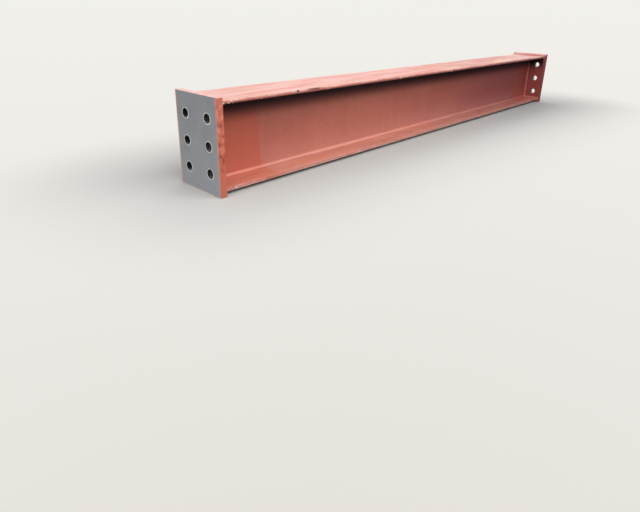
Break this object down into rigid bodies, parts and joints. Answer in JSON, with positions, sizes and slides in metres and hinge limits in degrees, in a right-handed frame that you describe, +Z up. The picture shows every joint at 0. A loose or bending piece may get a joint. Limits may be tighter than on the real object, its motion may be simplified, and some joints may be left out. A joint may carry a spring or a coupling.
{
  "type": "steel i-beam with bolted end plates",
  "caption": "Fabricated wide-flange steel beam with a drilled plate welded across each end, for bolting end to end or to a support.",
  "frame": {"origin": "on the floor under the middle of the beam, centre of the bottom of the bounding box", "axes": "+X along the beam away from the end that faces the picture, +Y across the flanges, +Z up along the web's depth"},
  "size_m": [2.7, 0.225, 0.32],
  "materials": {
    "primed_steel": "matt red oxide primer, mottled and a little rusty",
    "near_plate_steel": "weathered grey steel with a thin dull coat, primed on its edges and back",
    "far_plate_steel": "matt red oxide primer on its inner face, weathered grey on its outer face",
    "weld_metal": "rippled weld bead under primer"
  },
  "bodies": {
    "root": {"rolled_beam": "primed_steel", "near_end_plate": "near_plate_steel", "far_end_plate": "far_plate_steel", "near_end_weld": "weld_metal", "far_end_weld": "weld_metal"}
  },
  "joints": []
}
